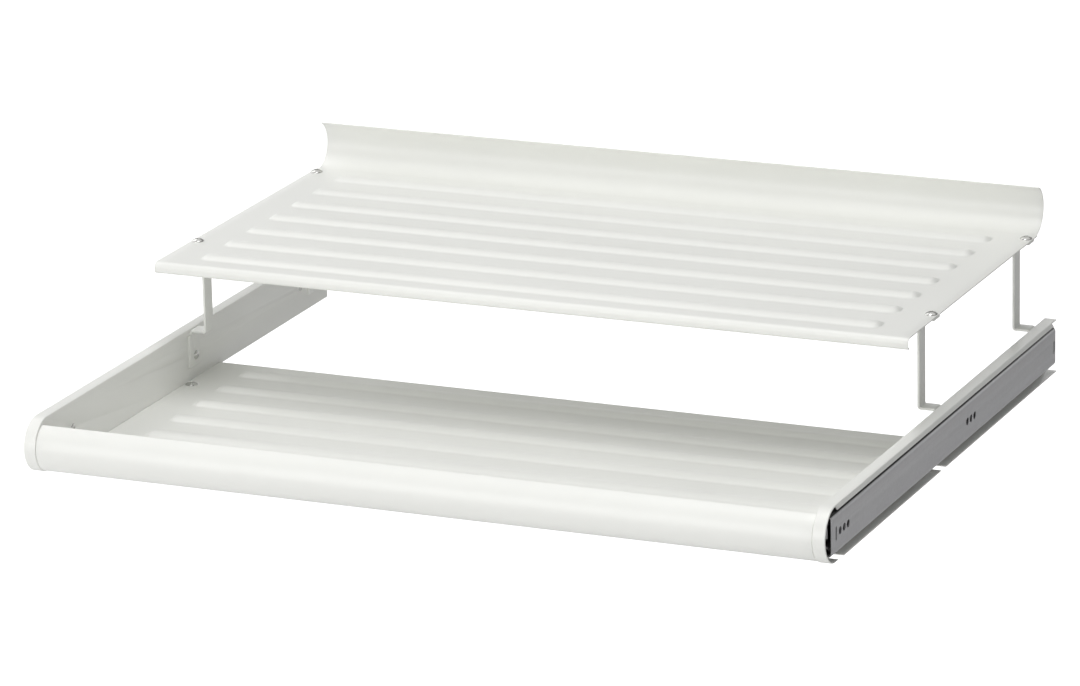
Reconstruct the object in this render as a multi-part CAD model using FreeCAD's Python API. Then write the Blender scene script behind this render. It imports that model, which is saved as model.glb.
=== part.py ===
"""Pull-out shoe rack for a wardrobe: two ribbed steel shelves on two ball-bearing slides.

Frame, in millimetres: X runs across the wardrobe with 0 half way between its walls, Y runs into
the wardrobe with 0 at the front ends of the wall rails, and Z is up with 0 at the underside of the
side panels. The tray is drawn closed. The right half is built and then mirrored.
"""
import FreeCAD, Part
import math
import os

V = FreeCAD.Vector

# ---- driving sizes ----
OPENING_WIDTH = 712.0      # clear width between the wardrobe's walls
SHEET = 1.0                # sheet steel of the shelves and side panels
RUN = 0.05                 # radial play of balls, screws and pins in their holes

RAIL_LENGTH = 550.0
RAIL_HEIGHT = 35.0
SLIDE_THICKNESS = 10.5
RAIL_Z = 24.1              # height of the slides' centre line
RAIL_STEEL = 1.2
RAIL_CORNER = 4.0          # outside bend of the wall rail

PANEL_HEIGHT = 47.5
PANEL_FLANGE = 11.0
PANEL_OVERHANG = 3.5       # behind the wall rails
NOSE_Y = 9.5               # where the straight edges run into the half-round nose
LIP_HEIGHT = 4.9
TAB_WIDTH = 8.0
TAB_RELIEF = (5.0, 7.2)    # gap in the bottom flange, before and behind the tab's screw

LOWER_GAP = 0.45           # between the lower shelf's end and the side panel
UPPER_GAP = 1.2            # how far the upper shelf's end stays inside the side panel
UPPER_ROLL_INSET = 1.4     # the upper shelf's roll, shorter than its plate at each end
SHELF_DEPTH = 348.0        # lip face to the outside of the rolled flange
FLANGE_RADIUS = 22.0       # outside of the rolled flange
FLANGE_SWEEP = 155.0
LIP_RADIUS = 5.0
LIP_DROP = 9.8
UPPER_OVERHANG = 5.5       # rolled back of the upper shelf behind the side panels
UPPER_SHELF_Z = 124.9      # underside of the upper plate
LOWER_SHELF_Z = SHEET      # underside of the lower plate, on the panels' tabs
LOWER_FACE_Y = -13.6       # outside of the lower shelf's rolled front

RIB_COUNT = 7
FIRST_RIB = 29.8           # from the lip face
LAST_RIB = 48.8            # from the outside of the rolled flange
RIB_END_MARGIN = 33.0      # from the side panels
RIB_HALF_WIDTH = 8.0
RIB_TOP_HALF_WIDTH = 3.5
RIB_HEIGHT = 3.0

SCREW_INSET = 7.0          # the four screws through each shelf, from the side panels
NEAR_SCREW = 73.0          # from the lip face
FAR_SCREW_SETBACK = 34.0   # from the outside of the rolled flange
SHELF_SCREW_R = 2.5
SHELF_HEAD_R = 5.5
SHELF_HEAD_HEIGHT = 2.6
SHELF_HOLE_R = SHELF_SCREW_R + 0.25
SHELF_SCREW_LENGTH = 4.4
COLLAR_HEIGHT = 1.4

LEG_WIDTH = 14.6
LEG_OFFSET = -2.0          # middle of the strip, from its shelf screw
FOOT_EXTRA = 4.0           # the foot is wider than the strip at its front edge
LEG_STEEL = 2.0
LEG_INSET = 14.3           # outer face of the upright, from the side panel
LEG_TAB_GAP = 1.5          # end of the tab, from the side panel
LEG_JOG_Z = 47.2           # top of the step out to the side panel
LEG_FOOT_Z = 13.7
LEG_BEND = 0.8
FOOT_SCREW_Z = 22.6
FOOT_SCREW_R = 2.0
FOOT_HEAD_R = 4.0
FOOT_HEAD_HEIGHT = 2.2
SLIDE_SCREW_SETBACKS = (54.0, 52.0)
SLIDE_HEAD_R = 3.5
SLIDE_HEAD_HEIGHT = 1.3

HOLE_R = 3.25              # screw holes of the wall rails
HOLE_PITCH = 9.0
FRONT_HOLE_Y = 28.0        # middle hole of the front three
HOLE_SPAN = 302.0          # to the middle hole of the rear three
DRIVER_TRAVEL = 200.0      # the middle rail's front window meets the front holes this far out
SLOT_SETBACK = (10.0, 3.5)
SLOT_SIZE = (3.0, 12.0)

BALL_R = 1.5
GROOVE_R = BALL_R + RUN
GROOVE_DEPTH = 0.6
BALL_U = 6.2               # ball rows, from the wall rails' back faces
BALLS_PER_ROW = 9
BALL_PITCH = 28.0
CAGE_LENGTH = 250.0
CAGE_STEEL = 0.7
OUTER_CAGE_Y = 130.0
INNER_CAGE_Y = 138.0
MIDDLE_SETBACKS = (8.0, 42.0)
DRAWER_SETBACK = 5.0       # rear end only
LUG_REACH = 9.2            # lug at the drawer rail's front end, ahead of the rail
LUG_ZS = (25.5, 34.0)

LEVER_PIVOT_Y = 262.0
LEVER_LENGTH = 70.0
LEVER_WIDTH = 6.0

# ---- worked out from them ----
X_WALL = OPENING_WIDTH / 2
X_PANEL_BACK = X_WALL - SLIDE_THICKNESS       # panel face that carries the slide
X_PANEL = X_PANEL_BACK - SHEET                # panel face that the shelves meet
X_FLANGE = X_PANEL + PANEL_FLANGE
PANEL_REAR = RAIL_LENGTH + PANEL_OVERHANG
NOSE_R = PANEL_HEIGHT / 2
LOWER_HALF = X_PANEL - LOWER_GAP
UPPER_HALF = X_PANEL - UPPER_GAP
ROLL_HALF = UPPER_HALF - UPPER_ROLL_INSET
SCREW_X = X_PANEL - SCREW_INSET
FAR_SCREW = SHELF_DEPTH - FAR_SCREW_SETBACK
RIB_HALF_LENGTH = X_PANEL - RIB_END_MARGIN
RIB_PITCH = (SHELF_DEPTH - FIRST_RIB - LAST_RIB) / (RIB_COUNT - 1)
LOWER_LIP_Y = LOWER_FACE_Y + SHELF_DEPTH
UPPER_LIP_Y = PANEL_REAR + UPPER_OVERHANG - SHELF_DEPTH
LEG_FACE_X = X_PANEL - LEG_INSET
LEG_TAB_END_X = X_PANEL - LEG_TAB_GAP
LEG_YS = {"front": UPPER_LIP_Y + NEAR_SCREW, "rear": UPPER_LIP_Y + FAR_SCREW}
FOOT_YS = [y + LEG_OFFSET for y in LEG_YS.values()]
TAB_YS = (LOWER_LIP_Y - FAR_SCREW, LOWER_LIP_Y - NEAR_SCREW)
SLIDE_SCREW_YS = (SLIDE_SCREW_SETBACKS[0], RAIL_LENGTH - SLIDE_SCREW_SETBACKS[1])
MIDDLE_RAIL_YS = (MIDDLE_SETBACKS[0], RAIL_LENGTH - MIDDLE_SETBACKS[1])
DRAWER_RAIL_YS = (0.0, RAIL_LENGTH - DRAWER_SETBACK)

# half-heights of the nested rails, from the wall rail inward
OUTER_FACE = RAIL_HEIGHT / 2 - 1.5                       # wall rail, inside of its flange
OUTER_BALL_V = OUTER_FACE - (GROOVE_R - GROOVE_DEPTH)
MIDDLE_TOP = OUTER_BALL_V - (GROOVE_R - GROOVE_DEPTH)
MIDDLE_FACE = MIDDLE_TOP - 2.0
INNER_BALL_V = MIDDLE_FACE - (GROOVE_R - GROOVE_DEPTH)
DRAWER_TOP = INNER_BALL_V - (GROOVE_R - GROOVE_DEPTH)
DRAWER_FACE = DRAWER_TOP - 1.5

# depths inside the slide, from the wall rail's back face
WALL_RAIL_DEPTH = 9.6
MIDDLE_BACK = 2.0
MIDDLE_DEPTH = 9.4
DRAWER_FRONT = 3.9
OUTER_CAGE_BACK = 1.45
INNER_CAGE_BACK = 3.45
CAGE_BACK_STEEL = 0.3
CAGE_DEPTH = 8.3


# ---- helpers ----
def box(x0, x1, y0, y1, z0, z1):
    return Part.makeBox(x1 - x0, y1 - y0, z1 - z0, V(x0, y0, z0))


def rod(radius, start, axis, length):
    return Part.makeCylinder(radius, length, V(*start), V(*axis))


def fused(shapes):
    whole = shapes[0].fuse(shapes[1:]) if len(shapes) > 1 else shapes[0]
    return whole.removeSplitter()


def mirrored(shape):
    return shape.mirror(V(0, 0, 0), V(1, 0, 0))


def aim(heading):
    """Unit vector of a heading in degrees, 0 along the first axis and 90 along the second."""
    return (math.cos(math.radians(heading)), math.sin(math.radians(heading)))


def bent_outline(start, heading, moves, thickness):
    """Closed outline of a bent sheet, as 2D pieces.

    The path follows the sheet's left-hand surface: a number runs straight on, and a pair
    (radius, angle) turns, left for a positive angle. The thickness lies to the right.
    """
    near, far = [], []
    u, v = start
    for move in moves:
        right = aim(heading - 90)
        if isinstance(move, tuple):
            radius, angle = move
            side = 90 if angle > 0 else -90
            out = aim(heading + side)
            centre = (u + out[0] * radius, v + out[1] * radius)
            far_radius = radius + thickness if angle > 0 else radius - thickness
            turned = [heading - side + angle * part for part in (0, 0.5, 1)]
            for points, r in ((near, radius), (far, far_radius)):
                points.append([(centre[0] + aim(a)[0] * r, centre[1] + aim(a)[1] * r) for a in turned])
            u, v = near[-1][-1]
            heading += angle
        else:
            along = aim(heading)
            end = (u + along[0] * move, v + along[1] * move)
            near.append([(u, v), end])
            far.append([(p[0] + right[0] * thickness, p[1] + right[1] * thickness) for p in ((u, v), end)])
            u, v = end
    back = [piece[::-1] for piece in far[::-1]]
    return near + [[near[-1][-1], back[0][0]]] + back + [[back[-1][-1], near[0][0]]]


def face_of(pieces, place):
    """Planar face from 2D pieces of two points (straight) or three (arc)."""
    edges = []
    for piece in pieces:
        points = [place(*p) for p in piece]
        if len(points) == 3:
            edges.append(Part.Arc(*points).toShape())
        elif (points[1] - points[0]).Length > 1e-6:
            edges.append(Part.LineSegment(*points).toShape())
    return Part.Face(Part.Wire(Part.__sortEdges__(edges)))


def on_yz(x):
    return lambda y, z: V(x, y, z)


def on_xz(y):
    return lambda x, z: V(x, y, z)


def polygon(points, place):
    return face_of([[a, b] for a, b in zip(points, points[1:] + points[:1])], place)


def rounded_along_y(shape, corners, radius):
    """Round the edges that run along Y through the given (x, z) corners."""
    edges = []
    for edge in shape.Edges:
        a, b = edge.Vertexes[0].Point, edge.Vertexes[-1].Point
        straight = abs(a.x - b.x) < 1e-6 and abs(a.z - b.z) < 1e-6
        if straight and any(abs(a.x - x) < 1e-4 and abs(a.z - z) < 1e-4 for x, z in corners):
            edges.append(edge)
    return shape.makeFillet(radius, edges)


# ---- shelves ----
def stadium(half_length, half_width, y, z):
    """Rib outline: a bar along X with half-round ends."""
    x = half_length - half_width
    return [
        [(-x, y - half_width), (x, y - half_width)],
        [(x, y - half_width), (x + half_width, y), (x, y + half_width)],
        [(x, y + half_width), (-x, y + half_width)],
        [(-x, y + half_width), (-x - half_width, y), (-x, y - half_width)],
    ], (lambda px, py: V(px, py, z))


def rib(y, z, shrink):
    """Sloped bar from height z up; the shrunk one is the hollow pressed in from below."""
    low = face_of(*stadium(RIB_HALF_LENGTH - shrink, RIB_HALF_WIDTH - shrink, y, z)).OuterWire
    top_length = RIB_HALF_LENGTH - (RIB_HALF_WIDTH - RIB_TOP_HALF_WIDTH) - shrink
    high = face_of(*stadium(top_length, RIB_TOP_HALF_WIDTH - shrink, y, z + RIB_HEIGHT)).OuterWire
    return Part.makeLoft([low, high], True, True)


def shelf(half, roll_half):
    """A shelf with its lip face at y = 0 and the plate's underside at z = 0."""
    curl = 2.0
    straight = SHELF_DEPTH - LIP_RADIUS - FLANGE_RADIUS
    moves = [
        curl,
        (curl, -90),
        LIP_DROP - LIP_RADIUS - curl,
        (LIP_RADIUS, -90),
        straight,
        (FLANGE_RADIUS - SHEET, FLANGE_SWEEP),
    ]
    outline = bent_outline((2 * curl, SHEET - LIP_DROP), 180, moves, SHEET)
    plate = face_of(outline, on_yz(-half)).extrude(V(2 * half, 0, 0))
    root, end, top = SHELF_DEPTH - FLANGE_RADIUS, SHELF_DEPTH + 1, 2 * FLANGE_RADIUS + 1
    if roll_half < half:
        plate = plate.cut([
            box(-half - 1, -roll_half, root, end, -1, top),
            box(roll_half, half + 1, root, end, -1, top),
        ])
    ys = [FIRST_RIB + RIB_PITCH * i for i in range(RIB_COUNT)]
    plate = plate.fuse([rib(y, SHEET, 0) for y in ys])
    plate = plate.cut([rib(y, 0, 0.6) for y in ys])
    holes = [
        rod(SHELF_HOLE_R, (x, y, -1), (0, 0, 1), SHEET + 2)
        for x in (-SCREW_X, SCREW_X)
        for y in (NEAR_SCREW, FAR_SCREW)
    ]
    return plate.cut(holes).removeSplitter()


def upper_shelf():
    part = shelf(UPPER_HALF, ROLL_HALF)
    part.translate(V(0, UPPER_LIP_Y, UPPER_SHELF_Z))
    return part


def lower_shelf():
    """The same pressing turned round, its rolled flange forming the front."""
    part = shelf(LOWER_HALF, LOWER_HALF)
    part.rotate(V(0, 0, 0), V(0, 0, 1), 180)
    part.translate(V(0, LOWER_LIP_Y, LOWER_SHELF_Z))
    return part


# ---- side panel ----
def panel_web():
    outline = [
        [(PANEL_REAR, 0), (NOSE_Y, 0)],
        [(NOSE_Y, 0), (NOSE_Y - NOSE_R, NOSE_R), (NOSE_Y, PANEL_HEIGHT)],
        [(NOSE_Y, PANEL_HEIGHT), (PANEL_REAR, PANEL_HEIGHT)],
        [(PANEL_REAR, PANEL_HEIGHT), (PANEL_REAR, 0)],
    ]
    return face_of(outline, on_yz(X_PANEL)).extrude(V(SHEET, 0, 0))


def panel_band():
    """Top flange, nose and the short hook under it."""
    hook = TAB_YS[0] - TAB_RELIEF[0] - NOSE_Y
    moves = [PANEL_REAR - NOSE_Y, (NOSE_R - SHEET, 180), hook]
    outline = bent_outline((PANEL_REAR, PANEL_HEIGHT - SHEET), 180, moves, SHEET)
    return face_of(outline, on_yz(X_PANEL)).extrude(V(PANEL_FLANGE, 0, 0))


def panel_lip():
    """Turned-down edge of the top flange, with slanted ends."""
    top, low = PANEL_HEIGHT, PANEL_HEIGHT - LIP_HEIGHT
    front, rear = NOSE_Y + 0.5, PANEL_REAR - 13.0
    ends = [(front, top), (front + 4, low), (rear + 7, low), (rear, top)]
    return polygon(ends, on_yz(X_FLANGE - SHEET)).extrude(V(SHEET, 0, 0))


def panel_floor():
    """Bottom flange, left out over each tab."""
    before, behind = TAB_RELIEF
    spans = ((TAB_YS[0] + behind, TAB_YS[1] - before), (TAB_YS[1] + behind, PANEL_REAR))
    return [box(X_PANEL, X_FLANGE, a, b, 0, SHEET) for a, b in spans]


def panel_tab(y):
    """Tab bent inward under the lower shelf, with a drawn collar for its screw."""
    tab = box(SCREW_X - 8.0, X_PANEL + SHEET, y - TAB_WIDTH / 2, y + TAB_WIDTH / 2, 0, SHEET)
    collar = rod(SHELF_SCREW_R + 1.3, (SCREW_X, y, -COLLAR_HEIGHT), (0, 0, 1), COLLAR_HEIGHT)
    return tab.fuse(collar)


def side_panel():
    pieces = [panel_web(), panel_band(), panel_lip()] + panel_floor() + [panel_tab(y) for y in TAB_YS]
    holes = [rod(SHELF_SCREW_R + RUN, (SCREW_X, y, -3), (0, 0, 1), 5) for y in TAB_YS]
    holes += [rod(FOOT_SCREW_R + RUN, (X_PANEL - 1, y, FOOT_SCREW_Z), (1, 0, 0), 3) for y in FOOT_YS]
    holes += [rod(FOOT_SCREW_R + RUN, (X_PANEL - 1, y, RAIL_Z), (1, 0, 0), 3) for y in SLIDE_SCREW_YS]
    panel = fused(pieces).cut(holes)
    rim = [e for e in panel.Edges if on_rim(e)]
    return rounded_along_y(panel.makeFillet(0.9, rim), [(X_FLANGE, PANEL_HEIGHT)], 0.9)


def on_rim(edge):
    """Edges of the web's inner face along the top and round the nose."""
    a, b = edge.valueAt(edge.FirstParameter), edge.valueAt(edge.LastParameter)
    middle = edge.valueAt((edge.FirstParameter + edge.LastParameter) / 2)
    flat = all(abs(p.x - X_PANEL) < 1e-4 for p in (a, middle, b))
    top = flat and all(abs(p.z - PANEL_HEIGHT) < 1e-4 for p in (a, middle, b))
    distance = math.hypot(middle.y - NOSE_Y, middle.z - NOSE_R)
    nose = flat and edge.Length > 20 and middle.y < NOSE_Y and abs(distance - NOSE_R) < 1e-3
    return top or nose


# ---- legs and screws ----
def leg(y):
    """Strip leg: tab under the upper shelf, upright, step outward, foot on the side panel.

    The y is that of the screw through its tab.
    """
    outer_bend = LEG_BEND + LEG_STEEL
    tab_z = UPPER_SHELF_Z - LEG_STEEL
    moves = [
        LEG_TAB_END_X - LEG_FACE_X - LEG_BEND,
        (LEG_BEND, 90),
        tab_z - LEG_JOG_Z - 2 * LEG_BEND,
        (LEG_BEND, 90),
        X_PANEL - LEG_FACE_X - LEG_BEND - outer_bend,
        (outer_bend, -90),
        LEG_JOG_Z - outer_bend - LEG_FOOT_Z,
    ]
    outline = bent_outline((LEG_TAB_END_X, tab_z), 180, moves, LEG_STEEL)
    foot_y = y + LEG_OFFSET
    front = foot_y - LEG_WIDTH / 2
    strip = face_of(outline, on_xz(front)).extrude(V(0, LEG_WIDTH, 0))
    foot_top = LEG_JOG_Z - outer_bend - 2.0
    wing = box(X_PANEL - LEG_STEEL, X_PANEL, front - FOOT_EXTRA, front + 1, LEG_FOOT_Z, foot_top)
    tapped = rod(SHELF_SCREW_R + RUN, (SCREW_X, y, tab_z - 1), (0, 0, 1), LEG_STEEL + 2)
    foot_hole = rod(FOOT_SCREW_R + RUN, (X_PANEL - LEG_STEEL - 1, foot_y, FOOT_SCREW_Z), (1, 0, 0), LEG_STEEL + 2)
    return fused([strip, wing]).cut([tapped, foot_hole])


def domed_head(radius, height, start, axis):
    """Button head: a slice of a sphere on a short rim, with a cross recess."""
    rim = height * 0.3
    rise = height - rim
    ball = (radius ** 2 + rise ** 2) / (2 * rise)
    up = V(*axis)
    base = V(*start)
    centre = base + up * (height - ball)
    cap = Part.makeSphere(ball, centre).common(Part.makeCylinder(radius, height, base, up))
    deep = base + up * (height * 0.45)
    across = V(0, 1, 0)
    other = up.cross(across)
    for arm in (across, other):
        side = up.cross(arm)
        corner = deep - arm * (radius * 0.42) - side * (radius * 0.09)
        slot = Part.makePolygon([
            corner,
            corner + arm * (radius * 0.84),
            corner + arm * (radius * 0.84) + side * (radius * 0.18),
            corner + side * (radius * 0.18),
            corner,
        ])
        cap = cap.cut(Part.Face(slot).extrude(up * height))
    return cap


def screw(seat, axis, radius, length, head_radius, head_height):
    """Screw whose head sits on the seat point and rises along the axis."""
    down = tuple(-a for a in axis)
    return fused([rod(radius, seat, down, length), domed_head(head_radius, head_height, seat, axis)])


def shelf_screws(ys, plate_top):
    return [
        screw((side * SCREW_X, y, plate_top), (0, 0, 1), SHELF_SCREW_R, SHELF_SCREW_LENGTH,
              SHELF_HEAD_R, SHELF_HEAD_HEIGHT)
        for side in (-1, 1)
        for y in ys
    ]


def side_screws(ys, z, seat_x, length, head_radius, head_height):
    return [
        screw((side * seat_x, y, z), (-side, 0, 0), FOOT_SCREW_R, length, head_radius, head_height)
        for side in (-1, 1)
        for y in ys
    ]


# ---- slides, on the right-hand wall ----
def channel(back, front, half_height, inner_half, web, ys, closed_side):
    """C-section along Y. Depths run from the wall rail's back face; closed_side is its web's side."""
    y0, y1 = ys
    z0, z1 = RAIL_Z - half_height, RAIL_Z + half_height
    body = box(X_WALL - front, X_WALL - back, y0, y1, z0, z1)
    if closed_side == "wall":
        hollow = (X_WALL - front - 1, X_WALL - back - web)
    else:
        hollow = (X_WALL - front + web, X_WALL - back + 1)
    return body.cut(box(*hollow, y0 - 1, y1 + 1, RAIL_Z - inner_half, RAIL_Z + inner_half))


def grooves(half_height, ys):
    y0, y1 = ys
    return [
        rod(GROOVE_R, (X_WALL - BALL_U, y0 - 1, RAIL_Z + side * half_height), (0, 1, 0), y1 - y0 + 2)
        for side in (-1, 1)
    ]


def upright_slot(y):
    width, height = SLOT_SIZE
    middle = box(X_WALL - 2, X_WALL + 1, y - width / 2, y + width / 2,
                 RAIL_Z - (height - width) / 2, RAIL_Z + (height - width) / 2)
    ends = [
        rod(width / 2, (X_WALL - 2, y, RAIL_Z + side * (height - width) / 2), (1, 0, 0), 3)
        for side in (-1, 1)
    ]
    return fused([middle] + ends)


def wall_rail():
    ys = (0, RAIL_LENGTH)
    rail = channel(0, WALL_RAIL_DEPTH, RAIL_HEIGHT / 2, OUTER_FACE, RAIL_STEEL, ys, "wall")
    rail = rounded_along_y(rail, [(X_WALL, RAIL_Z + s * RAIL_HEIGHT / 2) for s in (-1, 1)], RAIL_CORNER)
    inside = [(X_WALL - RAIL_STEEL, RAIL_Z + s * OUTER_FACE) for s in (-1, 1)]
    rail = rounded_along_y(rail, inside, RAIL_CORNER - RAIL_STEEL)
    rail = rail.cut(grooves(OUTER_BALL_V, ys))
    holes = [
        rod(HOLE_R, (X_WALL - 2, centre + step * HOLE_PITCH, RAIL_Z), (1, 0, 0), 3)
        for centre in (FRONT_HOLE_Y, FRONT_HOLE_Y + HOLE_SPAN)
        for step in (-1, 0, 1)
    ]
    slots = [upright_slot(SLOT_SETBACK[0]), upright_slot(RAIL_LENGTH - SLOT_SETBACK[1])]
    return rail.cut(holes + slots)


def middle_rail():
    """Its windows let a driver through to the wall rail's screws."""
    rail = channel(MIDDLE_BACK, MIDDLE_DEPTH, MIDDLE_TOP, MIDDLE_FACE, RAIL_STEEL, MIDDLE_RAIL_YS, "wall")
    rail = rounded_along_y(rail, [(X_WALL - MIDDLE_BACK, RAIL_Z + s * MIDDLE_TOP) for s in (-1, 1)], 1.0)
    rail = rail.cut(grooves(OUTER_BALL_V, MIDDLE_RAIL_YS) + grooves(INNER_BALL_V, MIDDLE_RAIL_YS))
    reach = HOLE_PITCH + HOLE_R + 1.5
    windows = [
        box(X_WALL - MIDDLE_BACK - 2, X_WALL - MIDDLE_BACK + 1, y - reach, y + reach, RAIL_Z - 5.5, RAIL_Z + 5.5)
        for y in (FRONT_HOLE_Y + DRIVER_TRAVEL, FRONT_HOLE_Y + HOLE_SPAN)
    ]
    return rail.cut(windows)


def drawer_rail():
    """Inner rail on the side panel, with a lug turned to the wall at its front end."""
    rail = channel(DRAWER_FRONT, SLIDE_THICKNESS, DRAWER_TOP, DRAWER_FACE, RAIL_STEEL, DRAWER_RAIL_YS, "tray")
    rail = rail.cut(grooves(INNER_BALL_V, DRAWER_RAIL_YS))
    low, high, front = LUG_ZS[0], LUG_ZS[1], -LUG_REACH
    tongue = box(X_PANEL_BACK, X_PANEL_BACK + RAIL_STEEL, front, 1, low, high)
    lug = box(X_PANEL_BACK, X_WALL - 0.8, front, front + RAIL_STEEL, low, high)
    rail = fused([rail, tongue, lug])
    holes = [(y, FOOT_SCREW_Z) for y in FOOT_YS] + [(y, RAIL_Z) for y in SLIDE_SCREW_YS]
    holes.append((LEVER_PIVOT_Y, RAIL_Z))
    return rail.cut([rod(FOOT_SCREW_R + RUN, (X_PANEL_BACK - 1, y, z), (1, 0, 0), 4) for y, z in holes])


def ball_ys(start):
    margin = (CAGE_LENGTH - BALL_PITCH * (BALLS_PER_ROW - 1)) / 2
    return [start + margin + BALL_PITCH * i for i in range(BALLS_PER_ROW)]


def cage(start, back, ball_v):
    """Ball cage: a thin C with a long window in its back and a pocket for each ball."""
    ys = (start, start + CAGE_LENGTH)
    half = ball_v + CAGE_STEEL / 2
    body = channel(back, CAGE_DEPTH, half, half - CAGE_STEEL, CAGE_BACK_STEEL, ys, "wall")
    if ball_v == OUTER_BALL_V:
        outside = [(X_WALL - back, RAIL_Z + s * half) for s in (-1, 1)]
        inside = [(X_WALL - back - CAGE_BACK_STEEL, RAIL_Z + s * (half - CAGE_STEEL)) for s in (-1, 1)]
        body = rounded_along_y(rounded_along_y(body, outside, 2.0), inside, 1.5)
    bridge = 14.0
    inside = half - CAGE_STEEL
    window = box(X_WALL - back - 1, X_WALL - back + 1, ys[0] + bridge, ys[1] - bridge, RAIL_Z - inside, RAIL_Z + inside)
    pockets = [rod(BALL_R + 0.1, (X_WALL - BALL_U, y, RAIL_Z - half - 1), (0, 0, 1), 2 * half + 2) for y in ball_ys(start)]
    return body.cut([window] + pockets)


def balls(start, ball_v):
    return [
        Part.makeSphere(BALL_R, V(X_WALL - BALL_U, y, RAIL_Z + side * ball_v))
        for side in (-1, 1)
        for y in ball_ys(start)
    ]


def rear_stop():
    """Plastic buffer in the wall rail's rear slot."""
    gap = 0.3
    front = DRAWER_RAIL_YS[1] + gap
    width, height = SLOT_SIZE
    slot_y = RAIL_LENGTH - SLOT_SETBACK[1]
    body = box(X_WALL - 8.8, X_WALL - RAIL_STEEL, front, RAIL_LENGTH - 0.4, RAIL_Z - 7.0, RAIL_Z + 7.0)
    tongue = box(X_WALL - RAIL_STEEL, X_WALL - 0.2, slot_y - 1.2, slot_y + 1.2, RAIL_Z - 4.4, RAIL_Z + 4.4)
    return fused([body, tongue])


def release_lever():
    """Plastic lever that lets the drawer rail off the middle rail."""
    x0, x1 = X_WALL - 7.0, X_WALL - 5.0
    half = LEVER_WIDTH / 2
    y0, y1 = LEVER_PIVOT_Y - LEVER_LENGTH * 0.55, LEVER_PIVOT_Y + LEVER_LENGTH * 0.45
    bar = box(x0, x1, y0 + half, y1, RAIL_Z - half, RAIL_Z + half)
    thumb = rod(half + 1.0, (x0, y0 + half, RAIL_Z), (1, 0, 0), x1 - x0)
    catch = box(x0, x1, y1 - 6.0, y1, RAIL_Z, RAIL_Z + half + 1.5)
    return fused([bar, thumb, catch]).cut(rod(FOOT_SCREW_R, (x0 - 1, LEVER_PIVOT_Y, RAIL_Z), (1, 0, 0), 4))


def lever_pin():
    shank = rod(FOOT_SCREW_R - RUN, (X_PANEL_BACK, LEVER_PIVOT_Y, RAIL_Z), (1, 0, 0), SLIDE_THICKNESS - 4.8)
    shoulder = rod(FOOT_SCREW_R + 1.0, (X_PANEL_BACK + RAIL_STEEL, LEVER_PIVOT_Y, RAIL_Z), (1, 0, 0), 2.2)
    head = rod(FOOT_SCREW_R + 1.0, (X_WALL - 4.9, LEVER_PIVOT_Y, RAIL_Z), (1, 0, 0), 0.6)
    return fused([shank, shoulder, head])


# ---- files ----
def save(name, solids):
    shape = Part.Compound(solids) if len(solids) > 1 else solids[0]
    shape.exportStep("parts/" + name + ".step")


def save_pair(name, solids):
    save(name + "_right", solids)
    save(name + "_left", [mirrored(s) for s in solids])


def build():
    os.makedirs("parts", exist_ok=True)
    save("upper_shelf", [upper_shelf()])
    save("lower_shelf", [lower_shelf()])
    save_pair("side_panel", [side_panel()])
    for end, y in LEG_YS.items():
        save_pair(end + "_leg", [leg(y)])
    save("upper_shelf_screws", shelf_screws(LEG_YS.values(), UPPER_SHELF_Z + SHEET))
    save("lower_shelf_screws", shelf_screws(TAB_YS, LOWER_SHELF_Z + SHEET))
    foot_length = LEG_STEEL + SHEET + RAIL_STEEL + 1.8
    save("leg_foot_screws", side_screws(
        FOOT_YS, FOOT_SCREW_Z, X_PANEL - LEG_STEEL, foot_length, FOOT_HEAD_R, FOOT_HEAD_HEIGHT))
    slide_length = SHEET + RAIL_STEEL + 1.8
    save("slide_screws", side_screws(
        SLIDE_SCREW_YS, RAIL_Z, X_PANEL, slide_length, SLIDE_HEAD_R, SLIDE_HEAD_HEIGHT))
    save_pair("wall_rail", [wall_rail()])
    save_pair("middle_rail", [middle_rail()])
    save_pair("drawer_rail", [drawer_rail()])
    save_pair("outer_cage", [cage(OUTER_CAGE_Y, OUTER_CAGE_BACK, OUTER_BALL_V)])
    save_pair("inner_cage", [cage(INNER_CAGE_Y, INNER_CAGE_BACK, INNER_BALL_V)])
    save_pair("outer_balls", balls(OUTER_CAGE_Y, OUTER_BALL_V))
    save_pair("inner_balls", balls(INNER_CAGE_Y, INNER_BALL_V))
    save_pair("rear_stop", [rear_stop()])
    save_pair("release_lever", [release_lever()])
    save_pair("lever_pin", [lever_pin()])


build()
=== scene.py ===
"""Pull-out shoe rack: two ribbed, white-coated steel shelves on a pair of ball-bearing slides."""
from math import cos, pi, radians, sin

import bmesh
import bpy
from mathutils import Matrix, Vector


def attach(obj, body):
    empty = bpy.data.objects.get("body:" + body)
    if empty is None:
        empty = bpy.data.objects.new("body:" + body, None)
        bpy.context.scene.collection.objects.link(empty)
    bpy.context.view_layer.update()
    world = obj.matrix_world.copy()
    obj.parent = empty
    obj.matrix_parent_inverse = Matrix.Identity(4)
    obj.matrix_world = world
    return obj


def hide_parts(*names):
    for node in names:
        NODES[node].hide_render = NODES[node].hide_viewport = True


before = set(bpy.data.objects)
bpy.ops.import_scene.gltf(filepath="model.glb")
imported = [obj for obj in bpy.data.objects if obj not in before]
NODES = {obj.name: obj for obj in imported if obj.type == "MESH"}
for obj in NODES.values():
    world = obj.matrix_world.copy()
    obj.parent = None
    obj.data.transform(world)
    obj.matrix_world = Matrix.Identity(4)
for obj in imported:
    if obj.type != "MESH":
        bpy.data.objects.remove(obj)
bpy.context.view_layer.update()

MM = 0.001
SIDES = {"left": -1, "right": 1}


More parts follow.
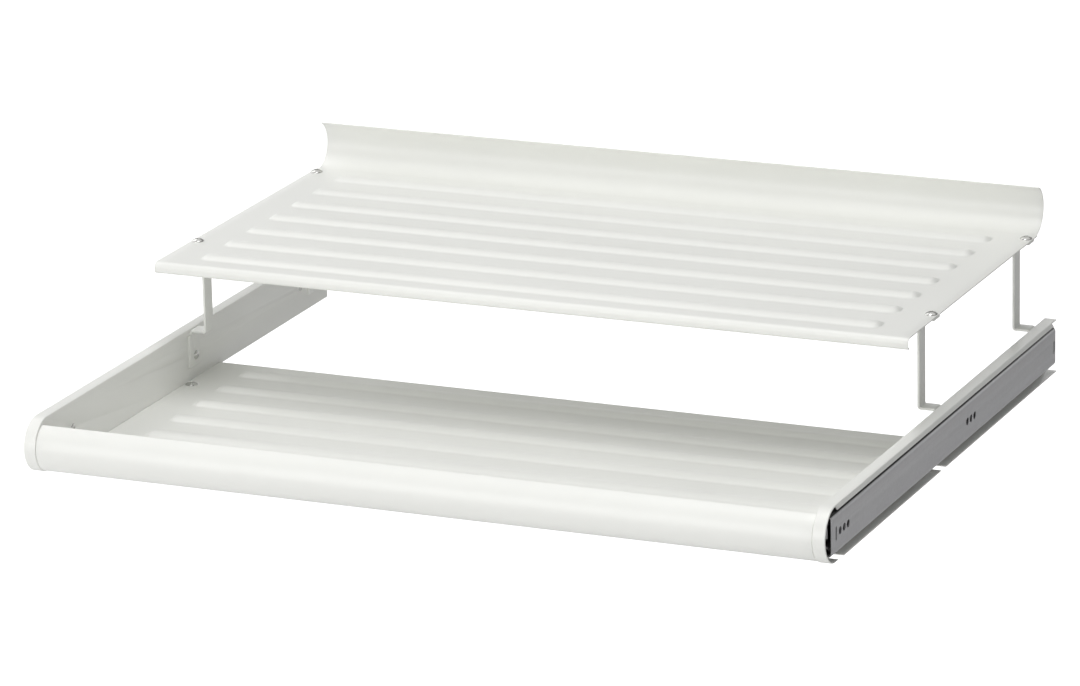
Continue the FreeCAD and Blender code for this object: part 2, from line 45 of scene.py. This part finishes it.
# ---- node trees written as arithmetic ----
class Value:
    """A number in a node tree. Arithmetic on it adds the Math nodes."""

    def __init__(self, tree, socket):
        self.tree, self.socket = tree, socket

    def math(self, operation, *others):
        return self.tree.math(operation, self, *others)

    def __add__(self, other):
        return self.math("ADD", other)

    def __radd__(self, other):
        return self.math("ADD", other)

    def __sub__(self, other):
        return self.math("SUBTRACT", other)

    def __rsub__(self, other):
        return self.tree.math("SUBTRACT", other, self)

    def __mul__(self, other):
        return self.math("MULTIPLY", other)

    def __rmul__(self, other):
        return self.math("MULTIPLY", other)

    def __truediv__(self, other):
        return self.math("DIVIDE", other)

    def __pow__(self, other):
        return self.math("POWER", other)

    def __neg__(self):
        return self.math("MULTIPLY", -1.0)

    def __abs__(self):
        return self.math("ABSOLUTE")

    def within(self, low, high):
        return self.math("MAXIMUM", low).math("MINIMUM", high)


class NodeTree:
    """A node tree in which one call makes one node."""

    def __init__(self, tree):
        self.tree = tree

    def add(self, kind, settings=None, values=None):
        node = self.tree.nodes.new(kind)
        for name, setting in (settings or {}).items():
            setattr(node, name, setting)
        for key, value in (values or {}).items():
            self.plug(value, node.inputs[key])
        return node

    def plug(self, value, socket):
        if isinstance(value, Value):
            value = value.socket
        if isinstance(value, bpy.types.NodeSocket):
            self.tree.links.new(value, socket)
        else:
            socket.default_value = value

    def math(self, operation, *values):
        node = self.add("ShaderNodeMath", {"operation": operation}, dict(enumerate(values)))
        return Value(self, node.outputs[0])

    def value(self, node, output=0):
        return Value(self, node.outputs[output])

    def split(self, vector):
        node = self.add("ShaderNodeSeparateXYZ", values={0: vector})
        return [Value(self, o) for o in node.outputs]

    def joined(self, x, y, z):
        return self.add("ShaderNodeCombineXYZ", values={0: x, 1: y, 2: z}).outputs[0]

    def step(self, value, low, high):
        """0 below low, 1 above high, and a smooth step between."""
        node = self.add(
            "ShaderNodeMapRange",
            {"interpolation_type": "SMOOTHSTEP"},
            {"Value": value, "From Min": low, "From Max": high},
        )
        return Value(self, node.outputs[0])


class GeometryTree(NodeTree):
    """A geometry tree with named sizes, which makes one plain mesh for each set of them."""

    def __init__(self, name, sizes):
        super().__init__(bpy.data.node_groups.new(name, "GeometryNodeTree"))
        face = self.tree.interface
        face.new_socket("Geometry", in_out="INPUT", socket_type="NodeSocketGeometry")
        face.new_socket("Material", in_out="INPUT", socket_type="NodeSocketMaterial")
        self.defaults = dict(sizes)
        for key, number in sizes.items():
            kind = "NodeSocketInt" if isinstance(number, int) else "NodeSocketFloat"
            face.new_socket(key, in_out="INPUT", socket_type=kind).default_value = number
        face.new_socket("Geometry", in_out="OUTPUT", socket_type="NodeSocketGeometry")
        self.group = self.add("NodeGroupInput")
        self.size = {key: Value(self, self.group.outputs[key]) for key in sizes}

    def grid(self, columns, rows):
        """Flat grid with steps of 1, and the column and row number of each of its points."""
        grid = self.add(
            "GeometryNodeMeshGrid",
            values={"Size X": float(columns), "Size Y": float(rows),
                    "Vertices X": columns + 1, "Vertices Y": rows + 1},
        )
        x, y, _ = self.split(self.add("GeometryNodeInputPosition").outputs[0])
        return grid.outputs["Mesh"], x + columns / 2, y + rows / 2

    def end(self, geometry):
        real = self.add("GeometryNodeRealizeInstances", values={"Geometry": geometry})
        coated = self.add(
            "GeometryNodeSetMaterial",
            values={"Geometry": real.outputs[0], "Material": self.group.outputs["Material"]},
        )
        out = self.add("NodeGroupOutput")
        self.tree.links.new(coated.outputs[0], out.inputs["Geometry"])

    def mesh(self, name, material, sizes=None, base=None):
        carrier = bpy.data.objects.new("carrier", base or bpy.data.meshes.new("base"))
        bpy.context.scene.collection.objects.link(carrier)
        modifier = carrier.modifiers.new("tree", "NODES")
        modifier.node_group = self.tree
        wanted = dict(self.defaults, Material=material, **(sizes or {}))
        for item in self.tree.interface.items_tree:
            if item.in_out == "INPUT" and item.name in wanted:
                modifier[item.identifier] = wanted[item.name]
        made = evaluated(carrier, name)
        carrier.modifiers.remove(modifier)
        bpy.data.objects.remove(carrier)
        return made


def evaluated(thing, name):
    """Plain mesh of an object with its modifiers applied."""
    graph = bpy.context.evaluated_depsgraph_get()
    graph.update()
    made = bpy.data.meshes.new_from_object(thing.evaluated_get(graph))
    made.name = name
    return made


# ---- finishes ----
# near-black colour of the painted shade on the wall rails' top edge, and the height over which it fades in
PAINTED_SHADE_BLACK = (0.02, 0.02, 0.02)
PAINTED_SHADE_SOFT_EDGE = 0.6 * MM


def finish_tree(name):
    material = bpy.data.materials.new(name)
    material.use_nodes = True
    tree = NodeTree(material.node_tree)
    shader = material.node_tree.nodes["Principled BSDF"]
    place = tree.add("ShaderNodeTexCoord").outputs["Object"]
    return material, tree, shader, place


def noise(tree, place, scale, detail=2.0, roughness=0.5):
    node = tree.add(
        "ShaderNodeTexNoise",
        values={"Vector": place, "Scale": scale, "Detail": detail, "Roughness": roughness},
    )
    return tree.value(node, "Fac")


def stretched(tree, place, x, y, z):
    return tree.add("ShaderNodeMapping", values={"Vector": place, "Scale": (x, y, z)}).outputs[0]


def shade(colour, factor):
    """Lighter or darker colour, at most white."""
    return tuple(min(1.0, c * factor) for c in colour)


def tint(tree, amount, low, high):
    """Colour between two, by an amount from 0 to 1. Each is three numbers or a socket."""
    low, high = [(*end, 1.0) if isinstance(end, tuple) else end for end in (low, high)]
    node = tree.add("ShaderNodeMix", {"data_type": "RGBA"}, {"Factor": amount, "A": low, "B": high})
    return node.outputs["Result"]


def relief(tree, height, depth, strength):
    node = tree.add("ShaderNodeBump", values={"Height": height, "Distance": depth, "Strength": strength})
    return node.outputs["Normal"]


def powder_coat(name, colour):
    """Baked powder paint: fine orange peel, a few nibs and a slightly uneven shade."""
    material, tree, shader, place = finish_tree(name)
    cloud = noise(tree, place, 7.0, 3.0)
    peel = noise(tree, place, 620.0, 2.0)
    swell = noise(tree, place, 170.0, 1.0)
    nib = tree.step(noise(tree, place, 1500.0, 0.0), 0.74, 0.82)
    tree.plug(tint(tree, cloud, shade(colour, 0.972), shade(colour, 1.012)), shader.inputs["Base Color"])
    tree.plug(0.28 + cloud * 0.07 + peel * 0.05, shader.inputs["Roughness"])
    height = peel * 0.6 + swell * 0.5 + nib * 0.5
    tree.plug(relief(tree, height, 0.06 * MM, 0.5), shader.inputs["Normal"])
    shader.inputs["IOR"].default_value = 1.5
    return material


def rolled_zinc(name, colour, painted_shade_above=None):
    """Cold-rolled strip, zinc plated: long rolling streaks and a faint spangle.

    Above the given height the strip is painted near-black: a painted shadow for the shade under the side
    panel's lip.
    """
    material, tree, shader, place = finish_tree(name)
    streak = noise(tree, stretched(tree, place, 1500.0, 14.0, 1500.0), 1.0, 3.0)
    cloud = noise(tree, place, 22.0, 3.0)
    cells = tree.add("ShaderNodeTexVoronoi", values={"Vector": place, "Scale": 420.0})
    spangle = tree.split(cells.outputs["Color"])[0]
    uneven = streak * 0.45 + cloud * 0.35 + spangle * 0.2
    surface = tint(tree, uneven, shade(colour, 0.86), shade(colour, 1.1))
    # painted shade: above this height the strip is darkened to stand for the shadow under the side panel's
    # lip
    if painted_shade_above:
        painted_shade = tree.step(tree.split(place)[2], painted_shade_above, painted_shade_above + PAINTED_SHADE_SOFT_EDGE) * 0.9
        surface = tint(tree, painted_shade, surface, PAINTED_SHADE_BLACK)
    tree.plug(surface, shader.inputs["Base Color"])
    tree.plug(0.34 + streak * 0.14 + cloud * 0.08, shader.inputs["Roughness"])
    shader.inputs["Metallic"].default_value = 1.0
    tree.plug(relief(tree, streak * 0.8 + spangle * 0.2, 0.03 * MM, 0.5), shader.inputs["Normal"])
    return material


def plated(name, colour, roughness, scratch):
    """Bright plated steel with hairline scratches."""
    material, tree, shader, place = finish_tree(name)
    hair = noise(tree, stretched(tree, place, 900.0, 5200.0, 2600.0), 1.0, 2.0)
    cloud = noise(tree, place, 90.0, 2.0)
    tree.plug(tint(tree, cloud, shade(colour, 0.93), colour), shader.inputs["Base Color"])
    tree.plug(roughness + hair * scratch + cloud * scratch, shader.inputs["Roughness"])
    shader.inputs["Metallic"].default_value = 1.0
    tree.plug(relief(tree, hair, 0.01 * MM, 0.4), shader.inputs["Normal"])
    return material


def moulded_plastic(name, colour):
    """Injection-moulded plastic with a spark-eroded grain."""
    material, tree, shader, place = finish_tree(name)
    grain = noise(tree, place, 2400.0, 2.0, 0.7)
    cloud = noise(tree, place, 60.0, 2.0)
    tree.plug(tint(tree, cloud, shade(colour, 0.8), shade(colour, 1.3)), shader.inputs["Base Color"])
    tree.plug(0.46 + grain * 0.14, shader.inputs["Roughness"])
    tree.plug(relief(tree, grain, 0.04 * MM, 0.6), shader.inputs["Normal"])
    return material


WHITE = powder_coat("white_powder_coat", (0.875, 0.88, 0.845))
ZINC = rolled_zinc("zinc_plated_strip", (0.50, 0.50, 0.51))
# wall rails: above 39.8 mm their top edge carries a painted shade for the lip's shadow
WALL_ZINC = rolled_zinc("wall_rail_strip", (0.50, 0.50, 0.51), painted_shade_above=39.8 * MM)
# middle rails: the same zinc strip painted darker, a painted shade for their place in the shadow behind the
# wall rails' holes
SHADE_DARKENED_ZINC = rolled_zinc("shade_darkened_zinc_strip", (0.24, 0.24, 0.25))
CAGE = rolled_zinc("cage_strip", (0.36, 0.37, 0.38))
NICKEL = plated("nickel_plated_screws", (0.58, 0.58, 0.56), 0.12, 0.04)
BALL = plated("bearing_steel", (0.72, 0.72, 0.73), 0.07, 0.02)
BLACK = moulded_plastic("black_plastic", (0.022, 0.022, 0.023))


# ---- making pieces ----
def piece(name, made, body, replaced, sharp=32.0):
    """Piece that takes the place of one node. Edges sharper than the angle stay sharp."""
    made.shade_smooth()
    made.set_sharp_from_angle(angle=radians(sharp))
    thing = bpy.data.objects.new(name, made)
    bpy.context.scene.collection.objects.link(thing)
    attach(thing, body)
    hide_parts(replaced)


def worked(made, *modifiers):
    """Mesh with modifiers applied; each is (kind, settings)."""
    carrier = bpy.data.objects.new("carrier", made)
    bpy.context.scene.collection.objects.link(carrier)
    for kind, settings in modifiers:
        modifier = carrier.modifiers.new(kind.lower(), kind)
        for key, value in settings.items():
            setattr(modifier, key, value)
    result = evaluated(carrier, made.name)
    bpy.data.objects.remove(carrier)
    return result


def broken_edges(width, angle):
    """Bevel that breaks each edge which turns by more than the angle."""
    return "BEVEL", {"width": width, "segments": 2, "limit_method": "ANGLE", "angle_limit": radians(angle)}


def node_copy(node, material):
    """Merged copy of a node's mesh, with its flat faces in one piece each."""
    made = NODES[node].data.copy()
    mesh = bmesh.new()
    mesh.from_mesh(made)
    bmesh.ops.remove_doubles(mesh, verts=mesh.verts, dist=1e-6)
    bmesh.ops.dissolve_limit(mesh, angle_limit=radians(0.5), verts=mesh.verts, edges=mesh.edges)
    mesh.to_mesh(made)
    mesh.free()
    made.materials.clear()
    made.materials.append(material)
    return made


def soft_edged(node, name, body, material, width):
    """The node's own shape with its cut edges broken, as a tumbled or pressed part has them."""
    piece(name, worked(node_copy(node, material), broken_edges(width * MM, 40.0)), body, node)


# ---- places that the pieces share, in millimetres ----
SHEET = 1.0
LEG_STEEL = 2.0
PANEL_FACE_X = 344.5                  # inner face of the side panels
RAIL_Z = 24.1                         # middle of the slides
UPPER_LIP_Y, UPPER_SHELF_Z = 211.0, 124.9
LOWER_LIP_Y, LOWER_SHELF_Z = 334.4, 1.0
SHELF_SCREW_DEPTHS = (73.0, 314.0)    # from the face of a shelf's lip

# ---- shelves, in millimetres ----
SHELF = {
    "Half Length": PANEL_FACE_X - 0.45,
    "Roll Inset": 0.0,
    "Lip Radius": 5.0,
    "Lip Drop": 9.8,
    "Curl": 2.0,
    "Straight": 321.0,
    "Roll Radius": 21.0,
    "Roll Sweep": radians(155.0),
    "Rib Count": 7,
    "Rib Pitch": 44.9,
    "First Rib": 29.8,
    "Rib Half Length": PANEL_FACE_X - 34.0,
    "Rib Half Width": 10.0,
    "Rib Height": 2.95,
    "Rib Ramp": 6.5,
    "Rib Bluntness": 0.6,
}
SHELF_COLUMNS = (3, 26, 16, 26, 3)    # grid steps across: close where the ribs end
SHELF_ROWS = (26, 214, 44)            # grid steps along the sheet: lip, plate, roll
RIB_END_INSIDE = 22.0                 # the close columns reach this far in from a rib's end
RIB_END_OUTSIDE = 4.0                 # and this far out


def distance(line, steps, lengths, start):
    """Distance at a grid line, where each stretch has its own steps and its own length."""
    first = 0
    for count, length in zip(steps, lengths):
        start = start + (line - first).within(0, count) * (length / count)
        first += count
    return start


def shelf_tree():
    """Pressed sheet: lip, ribbed plate and rolled flange, bent from one grid."""
    t = GeometryTree("pressed shelf", SHELF)
    size = t.size
    grid, column, row = t.grid(sum(SHELF_COLUMNS), sum(SHELF_ROWS))

    close = RIB_END_INSIDE + RIB_END_OUTSIDE
    outer = size["Half Length"] - size["Rib Half Length"] - RIB_END_OUTSIDE
    middle = 2 * (size["Rib Half Length"] - RIB_END_INSIDE)
    x = distance(column, SHELF_COLUMNS, (outer, close, middle, close, outer), -size["Half Length"])

    drop = size["Lip Drop"] - size["Lip Radius"] - size["Curl"]
    lip = size["Curl"] * (1 + pi / 2) + size["Lip Radius"] * (pi / 2) + drop
    roll = size["Roll Radius"] * size["Roll Sweep"]
    s = distance(row, SHELF_ROWS, (lip, size["Straight"], roll), 0.0)
    plate_end = lip + size["Straight"]

    # the section of its upper face: straight runs, and bends with their hand and their sweep
    section = (
        (size["Curl"], 0, 0),
        (size["Curl"], -1, pi / 2),
        (drop, 0, 0),
        (size["Lip Radius"], -1, pi / 2),
        (size["Straight"], 0, 0),
        (size["Roll Radius"], 1, size["Roll Sweep"]),
    )
    y, z, before, heading = size["Curl"] * 2, SHEET - size["Lip Drop"], 0.0, pi
    for reach, hand, sweep in section:
        if hand:
            length = reach * sweep
            bearing = (s - before).within(0, length) / reach * hand + heading
            y = y + reach * hand * (bearing.math("SINE") - sin(heading))
            z = z - reach * hand * (bearing.math("COSINE") - cos(heading))
            heading = sweep * hand + heading
        else:
            length = reach
            run = (s - before).within(0, length)
            y, z = y + run * cos(heading), z + run * sin(heading)
        before = length + before

    # ribs: domed across, with a short ramp and a blunt, rounded outline at each end
    nearest = ((y - size["First Rib"]) / size["Rib Pitch"] + 0.5).math("FLOOR")
    centre = nearest.within(0, size["Rib Count"] - 1) * size["Rib Pitch"] + size["First Rib"]
    part = (abs(y - centre) / size["Rib Half Width"]).within(0, 1)
    past = (abs(x) - size["Rib Half Length"]) / size["Rib Ramp"] + 1 + part ** 3.0 * size["Rib Bluntness"]
    rise = (1 - part ** 2.0) * (1 - past.within(0, 1) ** 2.0) * size["Rib Height"]
    on_plate = t.step(z, SHEET * 0.5, SHEET * 0.9) * (1 - t.step(s, plate_end - 2.0, plate_end))
    z = z + rise * on_plate

    # the roll can be cut shorter than the plate
    rolled = t.step(s, plate_end + 0.5, plate_end + 3.0)
    end = size["Half Length"] - size["Roll Inset"] * rolled
    x = x.math("MINIMUM", end).math("MAXIMUM", -end)
    placed = t.add(
        "GeometryNodeSetPosition",
        values={"Geometry": grid, "Position": t.joined(x * MM, y * MM, z * MM)},
    )
    t.end(placed.outputs[0])
    return t


def shelf(name, tree, matrix, sizes):
    made = worked(
        tree.mesh(name, WHITE, sizes),
        ("SOLIDIFY", {"thickness": SHEET * MM, "offset": -1.0, "use_even_offset": True}),
        broken_edges(0.22 * MM, 60.0),
    )
    made.transform(matrix)
    piece(name, made, "tray", name)


pressing = shelf_tree()
upper_place = Matrix.Translation((0, UPPER_LIP_Y * MM, UPPER_SHELF_Z * MM))
turned_round = Matrix.Rotation(pi, 4, "Z")
lower_place = Matrix.Translation((0, LOWER_LIP_Y * MM, LOWER_SHELF_Z * MM)) @ turned_round
shelf("upper_shelf", pressing, upper_place, {"Half Length": PANEL_FACE_X - 1.2, "Roll Inset": 1.4})
shelf("lower_shelf", pressing, lower_place, {})

# ---- screws: one turned outline, set at each of its places ----
SCREW = {
    "Head Radius": 5.5,
    "Head Height": 2.6,
    "Rim Round": 0.3,
    "Shank Radius": 2.5,
    "Shank Length": 4.4,
    "Thread Pitch": 0.8,
    "Thread Depth": 0.22,
    "Recess Reach": 2.3,
    "Recess Width": 0.55,
    "Recess Depth": 1.4,
}
SCREW_COLUMNS = 96                    # grid steps round the screw
SCREW_ROWS = (34, 5, 4, 56, 3)        # along its outline: dome, rim, seat, shank, tip


def screw_tree():
    """Pan-head screw turned from one grid: domed head with a cross recess, rim, threaded shank.

    Each base point is the seat of a head. Its stored turn stands the screw up or lays it down,
    and its stored spin turns the cross recess.
    """
    t = GeometryTree("pan head screw", SCREW)
    size = t.size
    grid, column, row = t.grid(SCREW_COLUMNS, sum(SCREW_ROWS))
    angle = (column - SCREW_COLUMNS / 2) * (-2 * pi / SCREW_COLUMNS)
    starts = [sum(SCREW_ROWS[:i]) for i in range(len(SCREW_ROWS))]
    dome, rim, seat, shank, tip = [
        (row - start).within(0, count) / count for start, count in zip(starts, SCREW_ROWS)
    ]

    rim_height = size["Head Height"] * 0.3
    radius = dome * (size["Head Radius"] - size["Rim Round"])
    height = size["Head Height"] - (size["Head Height"] - rim_height) * dome ** 2.2
    radius = radius + (rim * (pi / 2)).math("SINE") * size["Rim Round"]
    height = height - rim_height * rim
    radius = radius - (size["Head Radius"] - size["Shank Radius"]) * seat
    height = height - size["Shank Length"] * shank
    turns = height / size["Thread Pitch"] + angle / (2 * pi)
    wave = abs(turns.math("FRACT") * 2 - 1)
    threaded = t.step(shank, 0.08, 0.2) * (1 - tip)
    radius = (radius - size["Thread Depth"] * wave * threaded) * (1 - tip)

    x, y = radius * angle.math("COSINE"), radius * angle.math("SINE")
    half, reach = size["Recess Width"] / 2, size["Recess Reach"]

    def slot(along, across):
        return (1 - t.step(abs(across), half, half + 0.16)) * (1 - t.step(abs(along), reach - 0.2, reach))

    bowl = 1 - t.step(radius, 0.2, reach) * 0.6
    on_head = 1 - t.step(rim, 0.0, 0.5)
    height = height - slot(x, y).math("MAXIMUM", slot(y, x)) * bowl * size["Recess Depth"] * on_head

    placed = t.add(
        "GeometryNodeSetPosition",
        values={"Geometry": grid, "Position": t.joined(x * MM, y * MM, height * MM)},
    )
    sealed = t.add("GeometryNodeMergeByDistance", values={"Geometry": placed.outputs[0], "Distance": 2e-6})
    turn = t.add("GeometryNodeInputNamedAttribute", {"data_type": "FLOAT"}, {"Name": "turn"})
    spin = t.add("GeometryNodeInputNamedAttribute", {"data_type": "FLOAT"}, {"Name": "spin"})
    copies = t.add(
        "GeometryNodeInstanceOnPoints",
        values={
            "Points": t.group.outputs["Geometry"],
            "Instance": sealed.outputs[0],
            "Rotation": t.joined(0.0, t.value(turn), 0.0),
        },
    )
    spun = t.add(
        "GeometryNodeRotateInstances",
        values={"Instances": copies.outputs[0], "Rotation": t.joined(0.0, 0.0, t.value(spin))},
    )
    t.end(spun.outputs[0])
    return t


def seats(places):
    """Points with a stored turn and spin, from (x, y, z, turn, spin) in millimetres and degrees."""
    made = bpy.data.meshes.new("seats")
    made.from_pydata([[c * MM for c in place[:3]] for place in places], [], [])
    for index, key in ((3, "turn"), (4, "spin")):
        stored = made.attributes.new(key, "FLOAT", "POINT")
        stored.data.foreach_set("value", [radians(place[index]) for place in places])
    return made


def screws(node, tree, places, sizes=None):
    made = tree.mesh(node, NICKEL, sizes, seats(places))
    piece(node + "_turned", made, "tray", node, 50.0)


SHELF_SCREW_X = PANEL_FACE_X - 7.0
LEG_SCREW_YS = [UPPER_LIP_Y + depth for depth in SHELF_SCREW_DEPTHS]
TAB_SCREW_YS = [LOWER_LIP_Y - depth for depth in reversed(SHELF_SCREW_DEPTHS)]
FOOT_SCREW_YS = [y - 2.0 for y in LEG_SCREW_YS]
SLIDE_SCREW_YS = (54.0, 498.0)
STANDING_SCREWS = (                   # node, places along Y, height of the seat
    ("upper_shelf_screws", LEG_SCREW_YS, UPPER_SHELF_Z + SHEET),
    ("lower_shelf_screws", TAB_SCREW_YS, LOWER_SHELF_Z + SHEET),
)
LYING_SCREWS = (                      # and the seat's X and Z, head radius, head height, shank length
    ("leg_foot_screws", FOOT_SCREW_YS, PANEL_FACE_X - LEG_STEEL, 22.6, 4.0, 2.2, 6.0),
    ("slide_screws", SLIDE_SCREW_YS, PANEL_FACE_X, RAIL_Z, 3.5, 1.3, 4.0),
)
pan_head = screw_tree()
spins = iter(range(17, 2000, 73))     # each recess stands as its screw was left
for node, ys, top in STANDING_SCREWS:
    screws(node, pan_head, [(s * SHELF_SCREW_X, y, top, 0, next(spins)) for s in (-1, 1) for y in ys])
for node, ys, x, z, radius, height, length in LYING_SCREWS:
    small = {"Head Radius": radius, "Head Height": height, "Shank Radius": 2.0, "Shank Length": length,
             "Thread Pitch": 0.7, "Thread Depth": 0.18, "Recess Reach": radius * 0.42,
             "Recess Width": 0.42, "Recess Depth": height * 0.5}
    screws(node, pan_head, [(s * x, y, z, -90 * s, next(spins)) for s in (-1, 1) for y in ys], small)

# ---- ball rows, in millimetres ----
BALLS = {
    "Radius": 1.5,
    "Count": 9,
    "Pitch": 28.0,
    "First": 0.0,
    "Row Height": 12.0,
    "Across": 349.8,
    "Level": RAIL_Z,
}
BALL_ROWS = (("outer", 143.0, 15.05), ("inner", 151.0, 11.15))    # first ball, height over the level


def ball_tree():
    """Two rows of bearing balls, one above the other."""
    t = GeometryTree("ball rows", BALLS)
    size = t.size
    both = t.add("GeometryNodeJoinGeometry")
    for hand in (-1.0, 1.0):
        height = size["Row Height"] * hand + size["Level"]
        row = t.add(
            "GeometryNodeMeshLine",
            values={
                "Count": size["Count"],
                "Start Location": t.joined(size["Across"] * MM, size["First"] * MM, height * MM),
                "Offset": t.joined(0.0, size["Pitch"] * MM, 0.0),
            },
        )
        t.tree.links.new(row.outputs[0], both.inputs[0])
    ball = t.add("GeometryNodeMeshIcoSphere", values={"Radius": size["Radius"] * MM, "Subdivisions": 5})
    copies = t.add(
        "GeometryNodeInstanceOnPoints",
        values={"Points": both.outputs[0], "Instance": ball.outputs["Mesh"]},
    )
    t.end(copies.outputs[0])
    return t


ball_rows = ball_tree()
for side, hand in SIDES.items():
    for ring, first, height in BALL_ROWS:
        sizes = {"First": first, "Row Height": height, "Across": hand * BALLS["Across"]}
        made = ball_rows.mesh(f"{ring}_ball_rows_{side}", BALL, sizes)
        piece(made.name, made, f"{ring}_bearing_{side}", f"{ring}_balls_{side}", 80.0)

# ---- the other steel and the plastic, from their nodes ----
# node, piece, body, slot, finish and the width of its broken edges in millimetres; {} is the side
NODE_PIECES = (
    ("side_panel_{}", "panel_{}", "tray", "white_powder_coat", WHITE, 0.3),
    ("front_leg_{}", "front_strip_leg_{}", "tray", "white_powder_coat", WHITE, 0.3),
    ("rear_leg_{}", "rear_strip_leg_{}", "tray", "white_powder_coat", WHITE, 0.3),
    ("wall_rail_{}", "wall_channel_{}", "wall_rails", "zinc_plated_steel", WALL_ZINC, 0.15),
    ("middle_rail_{}", "middle_channel_{}", "middle_slide_{}", "zinc_plated_steel", SHADE_DARKENED_ZINC, 0.12),
    ("drawer_rail_{}", "drawer_channel_{}", "tray", "zinc_plated_steel", ZINC, 0.12),
    ("rear_stop_{}", "stop_block_{}", "wall_rails", "black_plastic", BLACK, 0.4),
    ("release_lever_{}", "lever_blade_{}", "lever_{}", "black_plastic", BLACK, 0.3),
    ("outer_cage_{}", "outer_ball_cage_{}", "outer_bearing_{}", "cage_steel", CAGE, 0.06),
    ("inner_cage_{}", "inner_ball_cage_{}", "inner_bearing_{}", "cage_steel", CAGE, 0.06),
)
for side in SIDES:
    for node, name, body, slot, finish, edge in NODE_PIECES:
        soft_edged(node.format(side), name.format(side), body.format(side), finish, edge)
    pin = NODES[f"lever_pin_{side}"].data
    pin.materials.clear()
    pin.materials.append(NICKEL)


# ---- stage ----
AMBIENT = 0.42                        # what the surroundings give the rack
SKY = 1.06                            # what the camera sees of them
RIGHT_SHADE = 0.38                    # how much darker they are on the right
FLOOR_REACH, FLOOR_LEVEL = 14.0, -0.5
RACK_MIDDLE = (0.0, 0.27, 0.08)
SOFTBOXES = (                         # name, place, width, height, watts
    ("front", (-0.5, -2.7, 0.45), 3.0, 1.7, 35.0),
    ("left", (-2.4, 0.9, 1.7), 2.6, 2.6, 27.0),
    ("overhead", (0.1, -0.25, 1.9), 0.6, 1.5, 15.0),
)
CAMERA_PLACE = (1.950165, -4.208444, 1.546111)
CAMERA_TURN = (73.1964, 1.1806, 23.2755)
CAMERA_LENS = 200.77


def surroundings():
    """White for the camera and soft for the rack, with gleams for its metal."""
    world = bpy.data.worlds.new("studio")
    world.use_nodes = True
    bpy.context.scene.world = world
    tree = NodeTree(world.node_tree)
    back = world.node_tree.nodes["Background"]
    path = tree.add("ShaderNodeLightPath")
    shown = (tree.value(path, "Is Camera Ray") + tree.value(path, "Is Transmission Ray")).within(0, 1)
    right, _, up = tree.split(tree.add("ShaderNodeTexCoord").outputs["Generated"])
    side = 1 - tree.step(right, -0.2, 0.8) * RIGHT_SHADE
    low_band = (1 - tree.step(up, 0.14, 0.26)) * 0.9
    top = tree.step(up, 0.6, 0.85) * 0.7
    gleam = (low_band + top - 0.05) * tree.value(path, "Is Glossy Ray")
    strength = side * AMBIENT * (1 - shown) + shown * SKY + gleam
    tree.plug((1.0, 1.0, 1.0, 1.0), back.inputs["Color"])
    tree.plug(strength, back.inputs["Strength"])


def pale_floor():
    """Floor well below the rack, which hangs between the wardrobe's walls."""
    reach, level = FLOOR_REACH, FLOOR_LEVEL
    corners = [(-reach, -reach, level), (reach, -reach, level), (reach, reach, level), (-reach, reach, level)]
    plane = bpy.data.meshes.new("floor")
    plane.from_pydata(corners, [], [(0, 1, 2, 3)])
    material, tree, shader, place = finish_tree("pale_floor")
    path = tree.add("ShaderNodeLightPath")
    seen = tree.value(path, "Is Camera Ray")
    paper = tint(tree, noise(tree, place, 40.0, 2.0), (0.90, 0.90, 0.90), (0.92, 0.92, 0.92))
    tree.plug(tint(tree, seen, (0.85, 0.85, 0.85), paper), shader.inputs["Base Color"])
    shader.inputs["Roughness"].default_value = 0.9
    tree.plug((1.0, 1.0, 1.0, 1.0), shader.inputs["Emission Color"])
    tree.plug(seen * 0.8 + tree.value(path, "Is Glossy Ray") * 0.02, shader.inputs["Emission Strength"])
    plane.materials.append(material)
    floor = bpy.data.objects.new("floor", plane)
    bpy.context.scene.collection.objects.link(floor)


def softbox(name, place, width, height, watts):
    lamp = bpy.data.lights.new(name, "AREA")
    lamp.shape = "RECTANGLE"
    lamp.size, lamp.size_y = width, height
    lamp.energy = watts
    box = bpy.data.objects.new(name, lamp)
    box.location = place
    box.rotation_euler = (Vector(RACK_MIDDLE) - Vector(place)).to_track_quat("-Z", "Y").to_euler()
    bpy.context.scene.collection.objects.link(box)


def camera():
    view = bpy.data.cameras.new("camera")
    view.sensor_width = 36.0
    view.lens = CAMERA_LENS
    view.clip_end = 60.0
    eye = bpy.data.objects.new("camera", view)
    eye.location = CAMERA_PLACE
    eye.rotation_euler = [radians(a) for a in CAMERA_TURN]
    bpy.context.scene.collection.objects.link(eye)
    bpy.context.scene.camera = eye


surroundings()
pale_floor()
for box in SOFTBOXES:
    softbox(*box)
camera()
bpy.context.scene.view_settings.view_transform = "Standard"
